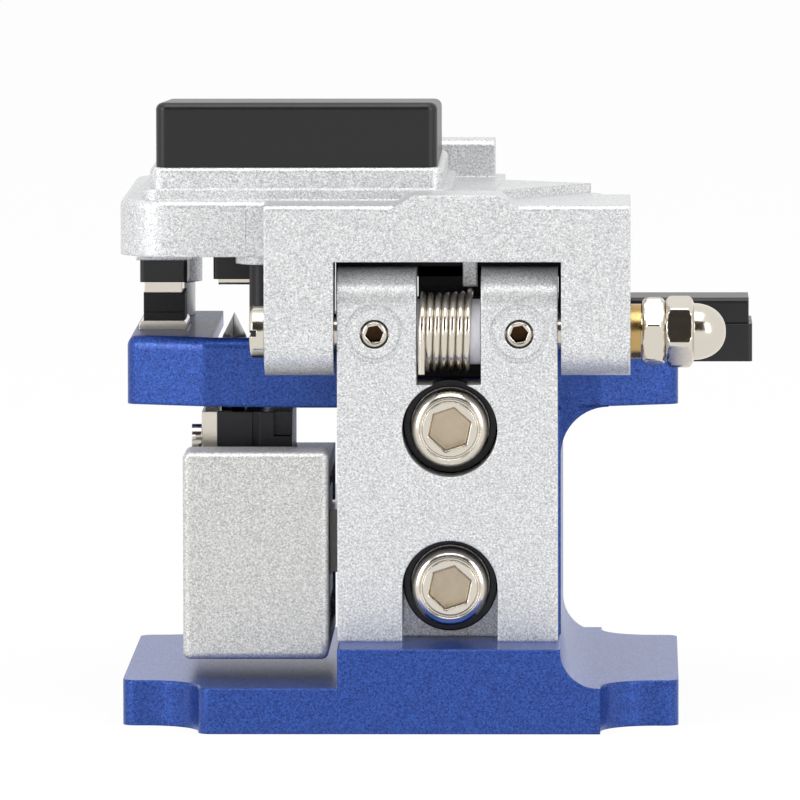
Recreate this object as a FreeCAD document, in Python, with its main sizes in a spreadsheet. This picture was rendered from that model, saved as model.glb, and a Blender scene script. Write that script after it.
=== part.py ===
import FreeCAD, Part
import Sketcher
import math
import os
import re

from FreeCAD import Placement, Rotation, Vector

# Compact fibre cleaver. Millimetres, +Z up, operator on the -Y side, lever hinge on the +Y side.
# The origin is the centre of the foot's underside.

SIZES = {
    # body: foot, web and deck
    "base_half": 30.6,
    "wing_width": 8.6,
    "depth_half": 31.5,
    "wing_step": 8.2,
    "wing_blend": 6.0,
    "foot_top": 5.0,
    "web_low": -17.6,
    "web_high": 6.75,
    "web_front": -27.5,
    "web_rear": 15.5,
    "ledge_top": 9.3,
    "deck_low": 34.3,
    "deck_top": 41.9,
    "deck_front": -27.5,
    "deck_rear": 14.0,
    "deck_setback": 5.0,
    "blend_radius": 5.3,
    "blend_margin": 0.2,
    "corner_radius": 1.5,
    "fit": 0.05,
    # hinge line and pin
    "hinge_y": 19.5,
    "hinge_z": 43.2,
    "pin_radius": 2.0,
    "pin_head_radius": 2.95,
    "pin_head_end": 16.6,
    "pin_tail_end": -34.0,
    # bracket
    "ear_low": -17.3,
    "ear_high": 6.9,
    "slot_low": -8.9,
    "slot_high": -1.8,
    "slot_floor": 37.6,
    "bracket_rear": 23.5,
    "bracket_top": 50.2,
    "screw_x": -5.46,
    "upper_screw_z": 32.7,
    "lower_screw_z": 15.2,
    "head_radius": 4.25,
    "head_height": 5.0,
    "recess_radius": 5.25,
    "screw_radius": 2.5,
    "lock_radius": 1.5,
    "lock_left_x": 2.8,
    "lock_right_x": -13.1,
    # nuts, bushes, spring
    "bush_radius": 3.05,
    "bush_proud": 1.2,
    "nut_flats": 7.0,
    "jam_height": 2.5,
    "acorn_hex": 3.1,
    "dome_radius": 3.15,
    "spool_radius": 3.6,
    "spring_radius": 4.1,
    "wire_radius": 0.4,
    "spring_turns": 6.0,
    "spring_end": -7.6,
    # lever
    "leg_outer_high": 14.9,
    "leg_inner_high": 7.3,
    "leg_inner_low": -17.7,
    "leg_outer_low": -25.3,
    "eye_radius": 4.8,
    "arm_low": 51.2,
    "arm_top": 57.4,
    "arm_side": 31.2,
    "arm_corner": 6.0,
    "arm_front": -30.0,
    "arm_rear": 16.6,
    "shell": 2.4,
    "plinth_height": 3.6,
    "pad_low_x": -4.0,
    "pad_inset": 4.1,
    "pad_rear": 14.6,
    "pad_front": -15.3,
    "pad_height": 7.2,
    "stop_x": 15.4,
    "stop_y": 11.7,
    # fibre line, clamps, anvil
    "fibre_y": -4.5,
    "fibre_z": 43.7,
    "clamp_inset": 4.2,
    "inner_x": 11.6,
    "clamp_half": 2.7,
    "anvil_half": 2.4,
    "anvil_low": 46.6,
    "post_x": 26.6,
    "post_y": -21.0,
    # fibre holder
    "holder_end": -38.9,
    "holder_inner": -8.0,
    "lid_inner": -15.4,
    "holder_rear": 1.5,
    "holder_front": -10.5,
    "holder_floor": 38.4,
    "holder_split": 42.6,
    "holder_top": 45.5,
    # blade and slider
    "blade_x": 19.0,
    "blade_y": 0.0,
    "blade_z": 35.8,
    "blade_radius": 8.0,
    "blade_half": 1.3,
    "blade_bore": 1.5,
    "slot_half": 2.25,
    "slot_rear": 11.5,
    "relief_half": 4.0,
    "slider_low_x": 7.9,
    "slider_high_x": 23.9,
    "slider_floor": 7.3,
    "slider_top": 30.2,
    "slider_rear": 23.5,
    "slider_front": -6.5,
    "cap_depth": 7.0,
    "rail_height": 3.0,
    "travel": 12.0,
    "rail_low": 15.0,
    "rail_high": 22.0,
}

# Sizes that follow others, each with its own step or inset.
SIZES["middle_half"] = SIZES["base_half"] - SIZES["wing_width"]
SIZES["foot_blend"] = SIZES["middle_half"] + SIZES["web_low"] - SIZES["blend_margin"]
SIZES["wing_depth"] = SIZES["depth_half"] - SIZES["wing_step"]
SIZES["plinth_top"] = SIZES["arm_top"] + SIZES["plinth_height"]
SIZES["pad_top"] = SIZES["plinth_top"] + SIZES["pad_height"]
SIZES["pad_high_x"] = SIZES["arm_side"] - SIZES["pad_inset"]
SIZES["outer_x"] = SIZES["arm_side"] - SIZES["clamp_inset"]

os.makedirs("parts", exist_ok=True)
doc = FreeCAD.newDocument("fibre_cleaver")
sheet = doc.addObject("Spreadsheet::Sheet", "Sizes")
for row, (alias, number) in enumerate(SIZES.items(), 1):
    sheet.set(f"A{row}", alias)
    sheet.set(f"B{row}", str(number))
    sheet.setAlias(f"B{row}", alias)
doc.recompute()

TURNS = {
    "x": Rotation(Vector(0, 1, 0), 90),
    "y": Rotation(Vector(1, 0, 0), -90),
    "z": Rotation(),
}
ANY = (-1000, 1000)
nodes = []


def term(text):
    """An expression with each size name pointed at the sheet."""
    return re.sub(r"[a-z]\w*", lambda m: "Sizes." + m[0] if m[0] in SIZES else m[0], str(text))


def bind(item, values):
    for name, text in values.items():
        item.setExpression(name, term(text))


def size(name):
    return SIZES[name]


def near(number, gap=0.06):
    return (number - gap, number + gap)


def new_body(label):
    """A named body, listed for export."""
    body = doc.addObject("PartDesign::Body", label)
    body.Label = label
    body.AllowCompound = True
    nodes.append(body)
    return body


def place(item, turn, x, y, z):
    item.Placement = Placement(Vector(), turn)
    bind(item, {"Placement.Base.x": x, "Placement.Base.y": y, "Placement.Base.z": z})


def box(body, x, y, z, cut=False):
    """A box between three pairs of expressions."""
    item = body.newObject(f"PartDesign::{'Subtractive' if cut else 'Additive'}Box", "Box")
    place(item, Rotation(), x[0], y[0], z[0])
    spans = [f"({high}) - ({low})" for low, high in (x, y, z)]
    bind(item, dict(zip(("Length", "Width", "Height"), spans)))
    return item


def along(axis, start, centre):
    """The base point of a shape that runs along an axis; centre is given in the other two."""
    first, second = centre
    return {"x": (start, first, second), "y": (first, start, second), "z": (first, second, start)}[axis]


def rod(body, axis, span, centre, radius, cut=False):
    """A cylinder along an axis, from the first to the second expression of span."""
    item = body.newObject(f"PartDesign::{'Subtractive' if cut else 'Additive'}Cylinder", "Rod")
    place(item, TURNS[axis], *along(axis, span[0], centre))
    bind(item, {"Radius": radius, "Height": f"({span[1]}) - ({span[0]})"})
    return item


def cone(body, axis, span, centre, radii, cut=False):
    item = body.newObject(f"PartDesign::{'Subtractive' if cut else 'Additive'}Cone", "Cone")
    place(item, TURNS[axis], *along(axis, span[0], centre))
    bind(item, {"Radius1": radii[0], "Radius2": radii[1], "Height": f"({span[1]}) - ({span[0]})"})
    return item


def hexagon(body, axis, span, centre, flats, spin=0, cut=False):
    """A hexagonal bar measured across its flats."""
    item = body.newObject(f"PartDesign::{'Subtractive' if cut else 'Additive'}Prism", "Hexagon")
    item.Polygon = 6
    place(item, TURNS[axis] * Rotation(Vector(0, 0, 1), spin), *along(axis, span[0], centre))
    bind(item, {"Circumradius": f"({flats}) / sqrt(3)", "Height": f"({span[1]}) - ({span[0]})"})
    return item


def slab(body, plane, points, low, high, cut=False):
    """A straight-sided outline given thickness along the plane's normal axis, from low to high."""
    origin = [item for item in body.Origin.OriginFeatures if item.Role == plane][0]
    sketch = body.newObject("Sketcher::SketchObject", "Outline")
    sketch.AttachmentSupport = [(origin, "")]
    sketch.MapMode = "FlatFace"
    bind(sketch, {"AttachmentOffset.Base.z": f"-({high})" if plane == "XZ_Plane" else low})
    count = len(points)
    ring = [Vector(10 * math.cos(6.28 * n / count), 10 * math.sin(6.28 * n / count), 0) for n in range(count)]
    for n in range(count):
        sketch.addGeometry(Part.LineSegment(ring[n], ring[(n + 1) % count]))
    for n in range(count):
        sketch.addConstraint(Sketcher.Constraint("Coincident", n, 2, (n + 1) % count, 1))
    for n, (across, up) in enumerate(points):
        for kind, text in (("DistanceX", across), ("DistanceY", up)):
            number = sketch.addConstraint(Sketcher.Constraint(kind, -1, 1, n, 1, 1.0))
            bind(sketch, {f"Constraints[{number}]": text})
    item = body.newObject("PartDesign::Pocket" if cut else "PartDesign::Pad", "Slab")
    item.Profile = sketch
    item.Reversed = cut
    bind(item, {"Length": f"({high}) - ({low})"})
    sketch.Visibility = False
    return item


def pick(body, axis=None, x=ANY, y=ANY, z=ANY):
    """Names of the edges whose middle lies in the ranges, and which run along the axis if one is given."""
    doc.recompute()
    names = []
    for number, edge in enumerate(body.Tip.Shape.Edges, 1):
        bounds = edge.BoundBox
        spans = {"x": bounds.XLength, "y": bounds.YLength, "z": bounds.ZLength}
        if axis and sum(spans.values()) - spans[axis] > 0.001:
            continue
        middle = bounds.Center
        if x[0] <= middle.x <= x[1] and y[0] <= middle.y <= y[1] and z[0] <= middle.z <= z[1]:
            names.append(f"Edge{number}")
    return names


def soften(body, radius, names, kind="Fillet"):
    """Round or bevel the named edges of a body."""
    item = body.newObject(f"PartDesign::{kind}", kind)
    item.Base = (item.BaseFeature or body.Tip, names)
    bind(item, {"Radius" if kind == "Fillet" else "Size": radius})
    doc.recompute()
    return item


# Base body: foot plate with set-back wings, offset web, overhanging deck.
base = new_body("base_body")
box(base, ("-base_half", "base_half"), ("-depth_half", "depth_half"), ("0", "foot_top"))
box(base, ("web_low", "web_high"), ("web_front", "depth_half"), ("foot_top", "deck_low"))
soften(base, "foot_blend", pick(base, "y", x=near(size("web_low")), z=near(size("foot_top"))))
box(base, ("web_low - blend_radius - 1", "web_high + 1"), ("web_rear", "depth_half + 1"),
    ("ledge_top", "deck_low + 1"), cut=True)
for low, high in (("-base_half - 1", "-middle_half"), ("middle_half", "base_half + 1")):
    for front, rear in (("-depth_half - 1", "-wing_depth"), ("wing_depth", "depth_half + 1")):
        box(base, (low, high), (front, rear), ("-1", "foot_top + 1"), cut=True)
for corner_y in (-1, 1):
    wing_edge = near(corner_y * size("wing_depth"))
    soften(base, "wing_blend", pick(base, "z", y=wing_edge, x=near(-size("middle_half"))))
    soften(base, "wing_blend", pick(base, "z", y=wing_edge, x=near(size("middle_half"))))
foot_span = (0, size("foot_top"))
for corner_y in (-1, 1):
    wing_edge = near(corner_y * size("wing_depth"))
    for corner_x in (-1, 1):
        wing_tip = near(corner_x * size("base_half"))
        soften(base, "corner_radius", pick(base, "z", x=wing_tip, y=wing_edge, z=foot_span))
    middle_edge = near(corner_y * size("depth_half"))
    soften(base, "corner_radius", pick(base, "z", x=near(size("middle_half")), y=middle_edge, z=foot_span))
box(base, ("-base_half", "base_half"), ("-depth_half", "depth_half"), ("deck_low", "deck_top"))
soften(base, "blend_radius", pick(base, "y", x=near(size("web_low")), z=near(size("deck_low"))))
slab(base, "XY_Plane", [
    ("base_half + 1", "deck_rear - deck_setback"), ("base_half", "deck_rear - deck_setback"),
    ("middle_half", "deck_rear - deck_setback / 3"), ("middle_half / 2", "deck_rear"),
    ("-middle_half / 2", "deck_rear"), ("-middle_half", "deck_rear - deck_setback / 3"),
    ("-base_half", "deck_rear - deck_setback"), ("-base_half - 1", "deck_rear - deck_setback"),
    ("-base_half - 1", "depth_half + 1"), ("base_half + 1", "depth_half + 1")],
    "deck_low", "deck_top + 1", cut=True)
box(base, ("-base_half - 1", "web_low"), ("deck_rear - deck_setback / 4", "depth_half + 1"),
    ("ledge_top", "deck_low + 1"), cut=True)
box(base, ("-base_half - 1", "base_half + 1"), ("-depth_half - 1", "deck_front"),
    ("deck_low - blend_radius - 1", "deck_top + 1"), cut=True)
deck_span = (size("deck_low") + 1, size("deck_top") - 1)
soften(base, "corner_radius", pick(base, "z", x=near(size("base_half")), z=deck_span))
soften(base, "corner_radius", pick(base, "z", x=near(-size("base_half")), z=deck_span))
soften(base, "1.2", pick(base, z=near(size("deck_top"))))
box(base, ("blade_x - slot_half", "blade_x + slot_half"), ("deck_front - 1", "slot_rear"),
    ("deck_low - 1", "deck_top + 1"), cut=True)
box(base, ("blade_x - relief_half", "blade_x + relief_half"), ("deck_front - 1", "slot_rear"),
    ("deck_low - 1", "deck_top - 1.8"), cut=True)
box(base, ("-base_half - 1", "holder_inner + 0.2"), ("holder_front - 0.15", "holder_rear + 0.15"),
    ("holder_floor", "deck_top + 1"), cut=True)
for middle in ("outer_x", "inner_x"):
    box(base, (f"{middle} - clamp_half", f"{middle} + clamp_half"), ("fibre_y - 5", "fibre_y + 5"),
        ("deck_top - 2.8", "deck_top + 1"), cut=True)
    rod(base, "z", ("deck_top - 6", "deck_top - 2.8"), (middle, "fibre_y"), "1 + fit", cut=True)
rod(base, "z", ("deck_top - 3", "deck_top + 1"), ("post_x", "post_y"), "1.5 + fit", cut=True)
for level in ("upper_screw_z", "lower_screw_z"):
    rod(base, "y", ("web_rear - 14", "web_rear + 1"), ("screw_x", level), "screw_radius + fit", cut=True)
RAIL_MIDDLE = "(rail_low + rail_high) / 2"
for place_y in ("-23", "-11", "1"):
    rod(base, "x", ("web_high - 5", "web_high + 1"), (place_y, RAIL_MIDDLE), "1 + fit", cut=True)
for side in ("holder_inner - 3", "holder_inner - 20"):
    rod(base, "z", ("holder_floor - 3.6", "holder_floor + 1"), (side, "fibre_y + 3.6"), "0.8 + fit", cut=True)

# Hinge bracket: die-cast upright with two ears.
bracket = new_body("hinge_bracket")
box(bracket, ("ear_low", "ear_high"), ("web_rear", "bracket_rear"), ("ledge_top", "bracket_top"))
soften(bracket, "4", pick(bracket, "x", y=near(size("bracket_rear")), z=near(size("bracket_top"))))
soften(bracket, "2", pick(bracket, "x", y=near(size("web_rear")), z=near(size("bracket_top"))))
box(bracket, ("slot_low", "slot_high"), ("web_rear - 1", "bracket_rear + 1"),
    ("slot_floor", "bracket_top + 1"), cut=True)
for level in ("upper_screw_z", "lower_screw_z"):
    rod(bracket, "y", ("bracket_rear - 5.5", "bracket_rear + 1"), ("screw_x", level), "recess_radius",
        cut=True)
    rod(bracket, "y", ("web_rear - 1", "bracket_rear"), ("screw_x", level), "screw_radius + fit", cut=True)
box(bracket, ("screw_x - recess_radius", "screw_x + recess_radius"),
    ("bracket_rear - 5.5", "bracket_rear + 1"), ("ledge_top - 1", "lower_screw_z"), cut=True)
rod(bracket, "x", ("ear_low - 1", "ear_high + 1"), ("hinge_y", "hinge_z"), "pin_radius + 0.03", cut=True)
for lock in ("lock_left_x", "lock_right_x"):
    rod(bracket, "y", ("hinge_y", "bracket_rear + 1"), (lock, "hinge_z"), "lock_radius + fit", cut=True)
    rod(bracket, "y", ("bracket_rear - 0.25", "bracket_rear + 1"), (lock, "hinge_z"), "3.25", cut=True)
    rod(bracket, "y", ("bracket_rear - 0.25", "bracket_rear"), (lock, "hinge_z"), "2.7")
    rod(bracket, "y", ("hinge_y", "bracket_rear + 1"), (lock, "hinge_z"), "lock_radius + 0.1", cut=True)

# Two M5 socket head screws hold the bracket to the web.
screws = new_body("bracket_screws")
for level in ("upper_screw_z", "lower_screw_z"):
    centre = ("screw_x", level)
    rod(screws, "y", ("bracket_rear - 5.5", "bracket_rear - 5.5 + head_height"), centre, "head_radius")
    rod(screws, "y", ("web_rear - 12", "bracket_rear - 5.5"), centre, "screw_radius")
soften(screws, "0.5", pick(screws, y=near(size("bracket_rear") - 0.5)))
for level, spin in (("upper_screw_z", 0), ("lower_screw_z", 30)):
    hexagon(screws, "y", ("bracket_rear - 3.2", "bracket_rear"), ("screw_x", level), "4", spin, cut=True)

# Two M3 hex socket set screws lock the pin in the ears.
locks = new_body("set_screws")
for lock in ("lock_left_x", "lock_right_x"):
    rod(locks, "y", ("hinge_y + pin_radius + fit", "bracket_rear - 0.1"), (lock, "hinge_z"), "lock_radius")
for lock in ("lock_left_x", "lock_right_x"):
    hexagon(locks, "y", ("bracket_rear - 1.3", "bracket_rear"), (lock, "hinge_z"), "1.5", 30, cut=True)

# Hinge pin with a slotted head, and the two nuts at its threaded end.
hinge = ("hinge_y", "hinge_z")
pin = new_body("hinge_pin")
rod(pin, "x", ("pin_tail_end", "leg_outer_high"), hinge, "pin_radius")
rod(pin, "x", ("leg_outer_high + 0.05", "pin_head_end"), hinge, "pin_head_radius")
rod(pin, "x", ("leg_outer_high - 0.5", "leg_outer_high + 0.1"), hinge, "pin_radius")
soften(pin, "0.5", pick(pin, x=near(size("pin_head_end"))))
box(pin, ("pin_head_end - 0.8", "pin_head_end + 1"), ("hinge_y - 4", "hinge_y + 4"),
    ("hinge_z - 0.35", "hinge_z + 0.35"), cut=True)

BUSH_END = "(leg_outer_low - bush_proud)"
JAM_END = f"({BUSH_END} - 0.1 - jam_height)"
jam = new_body("hinge_jam_nut")
hexagon(jam, "x", (JAM_END, f"{BUSH_END} - 0.1"), hinge, "nut_flats", 44)
rod(jam, "x", (f"{JAM_END} - 1", BUSH_END), hinge, "pin_radius + fit", cut=True)

ACORN_END = f"({JAM_END} - 0.05 - acorn_hex)"
acorn = new_body("hinge_acorn_nut")
hexagon(acorn, "x", (ACORN_END, f"{JAM_END} - 0.05"), hinge, "nut_flats", 14)
rod(acorn, "x", (f"{ACORN_END} - 0.4", f"{ACORN_END} + 1"), hinge, "dome_radius")
ball = acorn.newObject("PartDesign::AdditiveSphere", "Dome")
place(ball, Rotation(), f"{ACORN_END} - 0.4", "hinge_y", "hinge_z")
bind(ball, {"Radius": "dome_radius"})
rod(acorn, "x", ("pin_tail_end - 0.3", f"{JAM_END} + 1"), hinge, "pin_radius + fit", cut=True)

# White spool on the pin and the lever spring wound round it.
spool = new_body("spring_spool")
rod(spool, "x", ("slot_low + 0.05", "slot_high - 0.05"), hinge, "spool_radius")
rod(spool, "x", ("slot_low - 1", "slot_high + 1"), hinge, "pin_radius + 0.05", cut=True)

# Brass bushes in the lever's legs.
bushes = new_body("lever_bushes")
rod(bushes, "x", (BUSH_END, "leg_inner_low"), hinge, "bush_radius")
rod(bushes, "x", ("leg_inner_high", "leg_outer_high"), hinge, "bush_radius")
rod(bushes, "x", (f"{BUSH_END} - 1", "leg_outer_high + 1"), hinge, "pin_radius + 0.03", cut=True)

# Lever: die-cast arm with two legs that hang round the bracket.
arm = new_body("lever_arm")
box(arm, ("pad_low_x - 1.6", "pad_high_x + 1.6"), ("pad_front - 1.8", "pad_rear + 0.9"),
    ("arm_top - 1", "arm_top + 1.2"))
soften(arm, "2", pick(arm, "z"))
box(arm, ("pad_low_x - 0.7", "pad_high_x + 0.7"), ("pad_front - 0.8", "pad_rear + 0.3"),
    ("arm_top + 1", "plinth_top"))
soften(arm, "1.6", pick(arm, "z", z=(size("arm_top") + 1.21, size("plinth_top"))))
soften(arm, "0.6", pick(arm, z=near(size("plinth_top"))))
slab(arm, "XY_Plane", [
    ("-22", "arm_rear"), ("-22", "4"), ("-11", "-7"), ("-11", "arm_front"), ("arm_side", "arm_front"),
    ("arm_side", "arm_rear")], "arm_low", "arm_top")
soften(arm, "arm_corner", pick(arm, "z", x=near(size("arm_side"))))
top = near(size("arm_top"))
soften(arm, "0.8", pick(arm, x=near(size("arm_side")), z=top)
       + pick(arm, "x", y=near(size("arm_front")), z=top)
       + pick(arm, "x", y=near(size("arm_rear")), z=top))
box(arm, ("leg_outer_low", "leg_outer_high"), ("arm_rear - 3", "hinge_y + eye_radius"),
    ("arm_low", "arm_top"))
box(arm, ("leg_outer_low", "-17"), ("6", "hinge_y"), ("arm_low", "arm_top"))
soften(arm, "0.6", pick(arm, "x", y=near(size("hinge_y") + size("eye_radius")), z=near(size("arm_top"))))
for low, high in (("leg_inner_high", "leg_outer_high"), ("leg_outer_low", "leg_inner_low")):
    box(arm, (low, high), ("hinge_y - eye_radius", "hinge_y + eye_radius"), ("hinge_z", "arm_low"))
    rod(arm, "x", (low, high), hinge, "eye_radius")
slab(arm, "XZ_Plane", [("2", "arm_top - 1"), ("-1.5", "arm_top + 1.1"), ("-11", "arm_top + 1.1"),
    ("-14", "arm_top - 1")], "arm_rear - 1", "hinge_y + eye_radius")
slab(arm, "XY_Plane", [("-20.9", "2.2"), ("-10.2", "15.4"), ("-11", "-3.8")], "arm_top - 1", "arm_top + 1")
box(arm, ("-9.9", "arm_side - 6"), ("arm_front + 1.2", "arm_front + 6.5"), ("arm_top - 1", "arm_top + 4.3"))
soften(arm, "1", pick(arm, "x", z=near(size("arm_top") + 4.3)))
box(arm, ("-8.6", "arm_side - 2.4"), ("arm_front + 2.4", "pad_rear - 6"), ("arm_low - 1", "arm_top - shell"),
    cut=True)
box(arm, ("outer_x - 3.4", "outer_x + 3"), ("fibre_y - 4", "fibre_y + 4"), ("arm_low - 1.6", "arm_top - 1"))
box(arm, ("inner_x - 3.4", "inner_x + 3"), ("fibre_y - 4", "fibre_y + 4"), ("arm_low - 1.6", "arm_top - 1"))
box(arm, ("blade_x - anvil_half", "blade_x + anvil_half"), ("fibre_y - 3", "fibre_y + 3"),
    ("arm_low", "arm_top - 1"))
rod(arm, "z", ("arm_low - 5.4", "arm_top - 1"), ("post_x", "post_y"), "3.2")
rod(arm, "z", ("arm_low - 1", "arm_top - 1"), ("stop_x", "stop_y"), "3")
for side in ("2", "21"):
    rod(arm, "z", ("arm_top - 4", "arm_top - 1"), (side, "2"), "2.6")
box(arm, ("spring_end - 0.8", "spring_end + 0.8"), ("hinge_y - 7", "hinge_y - 4.6"),
    ("hinge_z + spring_radius + wire_radius + 0.1", "arm_low"))
rod(arm, "x", ("leg_outer_low - 1", "leg_outer_high + 1"), hinge, "bush_radius + 0.04", cut=True)
rod(arm, "z", ("arm_low - 2", "arm_top - 1.2"), ("stop_x", "stop_y"), "lock_radius + fit", cut=True)
rod(arm, "z", ("arm_low - 6", "arm_low - 3.4"), ("post_x", "post_y"), "2.5 + fit", cut=True)
for middle in ("outer_x", "inner_x"):
    rod(arm, "z", ("arm_low - 2", "arm_top - 1.4"), (middle, "fibre_y"), "1.5 + fit", cut=True)
for side in ("2", "21"):
    rod(arm, "z", ("arm_top - 5", "plinth_top + 1"), (side, "2"), "1 + fit", cut=True)
rod(arm, "z", ("arm_low - 1", "arm_top - 2"), ("blade_x", "fibre_y"), "1 + fit", cut=True)

# Black thumb pad on the lever.
pad = new_body("lever_pad")
box(pad, ("pad_low_x", "pad_high_x"), ("pad_front", "pad_rear"), ("plinth_top", "pad_top"))
soften(pad, "1.2", pick(pad, "z"))
slab(pad, "YZ_Plane", [("pad_rear + 1", "pad_top"), ("pad_rear + 1", "pad_top + 3"),
    ("pad_front - 1", "pad_top + 3"), ("pad_front - 1", "pad_top - 1.4")],
    "pad_low_x - 1", "pad_high_x + 1", cut=True)
soften(pad, "0.8", pick(pad, z=(size("pad_top") - 1.6, size("pad_top") + 0.1)))
for side in ("2", "21"):
    rod(pad, "z", ("plinth_top - 1", "plinth_top + 4"), (side, "2"), "1 + fit", cut=True)

pad_screws = new_body("pad_screws")
for side in ("2", "21"):
    rod(pad_screws, "z", ("arm_top - 4", "plinth_top + 3.5"), (side, "2"), "1")
    rod(pad_screws, "z", ("arm_top - 5.4", "arm_top - 4"), (side, "2"), "1.9")
for side in ("2", "21"):
    hexagon(pad_screws, "z", ("arm_top - 6", "arm_top - 4.6"), (side, "2"), "1.5", cut=True)

# Stop screw under the lever, and the magnet in its post with the keeper pillar below.
stop = new_body("stop_screw")
rod(stop, "z", ("deck_top + 0.1", "arm_top - 2"), ("stop_x", "stop_y"), "lock_radius")
soften(stop, "0.5", pick(stop, z=near(size("deck_top") + 0.1)), "Chamfer")

magnet = new_body("lever_magnet")
rod(magnet, "z", ("arm_low - 5.3", "arm_low - 3.4"), ("post_x", "post_y"), "2.5")

keeper = new_body("keeper_pillar")
rod(keeper, "z", ("deck_top", "arm_low - 5.5"), ("post_x", "post_y"), "2.4")
rod(keeper, "z", ("deck_top - 3", "deck_top"), ("post_x", "post_y"), "1.5")

# Upper fibre clamps: blocks fixed in the lever, each with a sprung plunger and its rubber.
blocks = new_body("upper_clamp_blocks")
for middle in ("outer_x", "inner_x"):
    box(blocks, (f"{middle} - clamp_half", f"{middle} + clamp_half - 0.1"),
        ("fibre_y - 3.6", "fibre_y + 3.6"),
        ("fibre_z + 3.4", "arm_low - 1.6"))
soften(blocks, "0.5", pick(blocks, "z"))
for middle in ("outer_x", "inner_x"):
    rod(blocks, "z", ("arm_low - 1.8", "arm_low + 2.4"), (middle, "fibre_y"), "1.5")
    box(blocks, (f"{middle} - 2.15", f"{middle} + 2.15"), ("fibre_y - 3.25", "fibre_y + 3.25"),
        ("fibre_z + 3", "arm_low - 2.1"), cut=True)
for side, middle in (("outer", "outer_x"), ("inner", "inner_x")):
    plunger = new_body(f"{side}_clamp_plunger")
    box(plunger, (f"{middle} - 2.1", f"{middle} + 2.1"), ("fibre_y - 3.2", "fibre_y + 3.2"),
        ("fibre_z + 2.2", "fibre_z + 4.2"))
    rubber = new_body(f"{side}_clamp_rubber")
    box(rubber, (f"{middle} - 2.4", f"{middle} + 2.2"), ("fibre_y - 3.4", "fibre_y + 3.4"),
        ("fibre_z + 0.03", "fibre_z + 2.2"))

# Lower fibre clamps, let into the deck: steel seats with rubbers.
seats = new_body("lower_clamp_seats")
seat_rubbers = new_body("lower_clamp_rubbers")
for middle in ("outer_x", "inner_x"):
    box(seats, (f"{middle} - clamp_half + fit", f"{middle} + clamp_half - fit"),
        ("fibre_y - 4.95", "fibre_y + 4.95"),
        ("deck_top - 2.8", "fibre_z - 0.8"))
    rod(seats, "z", ("deck_top - 5.5", "deck_top - 2.8"), (middle, "fibre_y"), "1")
    box(seat_rubbers, (f"{middle} - 2.4", f"{middle} + 2.2"), ("fibre_y - 3.4", "fibre_y + 3.4"),
        ("fibre_z - 1.3", "fibre_z"))
soften(seats, "0.5", pick(seats, "y", z=near(size("fibre_z") - 0.8)))
for middle in ("outer_x", "inner_x"):
    box(seats, (f"{middle} - 2.4", f"{middle} + 2.2"), ("fibre_y - 3.4", "fibre_y + 3.4"),
        ("fibre_z - 1.3", "fibre_z"), cut=True)

# Anvil over the blade's path.
anvil = new_body("anvil_block")
box(anvil, ("blade_x - anvil_half", "blade_x + anvil_half"), ("fibre_y - 3", "fibre_y + 3"),
    ("anvil_low + 0.8", "arm_low"))
soften(anvil, "0.4", pick(anvil, "z"))
rod(anvil, "z", ("arm_low - 0.5", "arm_top - 2.2"), ("blade_x", "fibre_y"), "1")
anvil_tip = new_body("anvil_tip")
box(anvil_tip, ("blade_x - 1.9", "blade_x + 1.9"), ("fibre_y - 0.9", "fibre_y + 0.9"),
    ("anvil_low", "anvil_low + 0.8"))
soften(anvil_tip, "0.3", pick(anvil_tip, "x", z=near(size("anvil_low"))))

# Fibre holder: grooved base screwed into the deck channel, hinged lid with a rubber.
LID_AXIS = ("holder_front + 1.4", "holder_split + 0.2")
holder = new_body("holder_base")
box(holder, ("holder_end", "holder_inner"), ("holder_front", "holder_rear"), ("holder_floor", "holder_split"))
soften(holder, "0.5", pick(holder, "z"))
box(holder, ("holder_end + 4.5", "lid_inner - 3.6"), ("holder_front - 1", "holder_front + 2.9"),
    ("holder_split - 1.4", "holder_split + 1"), cut=True)
for low, high in (("holder_end + 1.5", "holder_end + 4.5"), ("lid_inner - 3.6", "lid_inner - 1")):
    box(holder, (low, high), ("holder_front", "holder_front + 2.8"),
        ("holder_split - 1", "holder_split + 0.2"))
    rod(holder, "x", (low, high), LID_AXIS, "1.4")
rod(holder, "x", ("holder_end + 1", "lid_inner"), LID_AXIS, "0.8 + 0.03", cut=True)
box(holder, ("holder_end - 1", "holder_inner + 1"), ("fibre_y + 0.9", "fibre_y + 1.15"),
    ("holder_split - 0.25", "holder_split + 1"), cut=True)
for side in ("holder_inner - 3", "holder_inner - 20"):
    rod(holder, "z", ("holder_floor - 1", "holder_split + 1"), (side, "fibre_y + 3.6"), "0.8 + fit", cut=True)
    rod(holder, "z", ("holder_split - 1.4", "holder_split + 1"), (side, "fibre_y + 3.6"), "1.6", cut=True)

holder_screws = new_body("holder_screws")
for side in ("holder_inner - 3", "holder_inner - 20"):
    rod(holder_screws, "z", ("holder_floor - 3.4", "holder_split - 1.35"), (side, "fibre_y + 3.6"), "0.8")
    rod(holder_screws, "z", ("holder_split - 1.4", "holder_split - 0.3"), (side, "fibre_y + 3.6"), "1.5")
for side in ("holder_inner - 3", "holder_inner - 20"):
    hexagon(holder_screws, "z", ("holder_split - 1", "holder_split"), (side, "fibre_y + 3.6"), "1.3",
            cut=True)

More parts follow.
